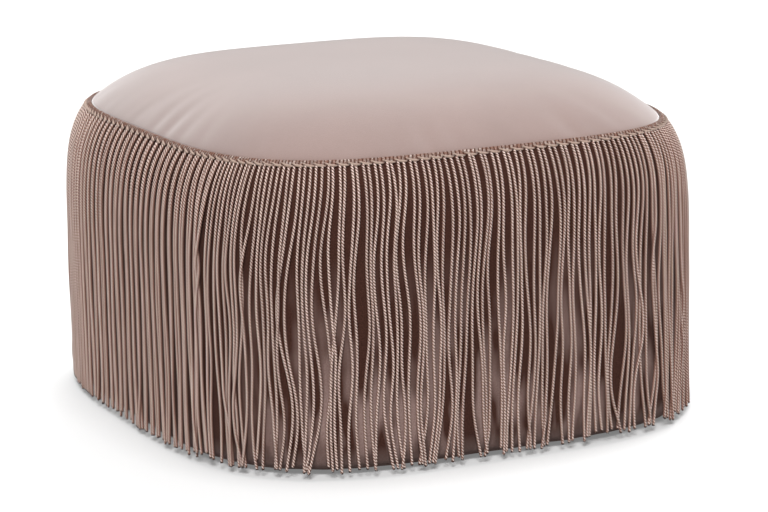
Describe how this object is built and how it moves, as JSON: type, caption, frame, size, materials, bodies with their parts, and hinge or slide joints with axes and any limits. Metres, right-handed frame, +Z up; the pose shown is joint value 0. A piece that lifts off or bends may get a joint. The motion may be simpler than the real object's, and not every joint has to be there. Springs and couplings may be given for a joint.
{
  "type": "tuffet",
  "caption": "Low upholstered tuffet with a rounded-square plan, a crowned velvet seat and a long cord fringe hanging from a braid round its top seam.",
  "frame": {"origin": "centre of the footprint, on the floor under the glides", "axes": "+Z up, -Y the front, +X to the right as the front is looked at, along the shorter side, and Y along the longer side"},
  "size_m": [0.5996, 0.6516, 0.372],
  "materials": {
    "velvet": "matte",
    "fringe_cord": "satin",
    "foam": "matte",
    "wadding": "matte",
    "plywood": "matte",
    "pine": "matte",
    "webbing": "matte",
    "dust_cloth": "matte",
    "glide_plastic": "satin",
    "nail_steel": "satin"
  },
  "bodies": {
    "root": {"seat_cover": "velvet", "side_cover": "velvet", "seat_wadding": "wadding", "seat_foam": "foam", "side_foam": "foam", "side_panel": "plywood", "base_board": "plywood", "seat_ring": "plywood", "dust_cover": "dust_cloth", "post_front": "pine", "post_right": "pine", "post_back": "pine", "post_left": "pine", "post_front_left": "pine", "post_front_right": "pine", "post_back_left": "pine", "post_back_right": "pine", "strap_cross_1": "webbing", "strap_cross_2": "webbing", "strap_cross_3": "webbing", "strap_cross_4": "webbing", "strap_long_1": "webbing", "strap_long_2": "webbing", "strap_long_3": "webbing", "strap_long_4": "webbing", "glide_front_left": "glide_plastic", "glide_front_right": "glide_plastic", "glide_back_left": "glide_plastic", "glide_back_right": "glide_plastic", "glide_nail_front_left": "nail_steel", "glide_nail_front_right": "nail_steel", "glide_nail_back_left": "nail_steel", "glide_nail_back_right": "nail_steel", "fringe_front": "fringe_cord", "fringe_right": "fringe_cord", "fringe_back": "fringe_cord", "fringe_left": "fringe_cord"}
  },
  "joints": []
}
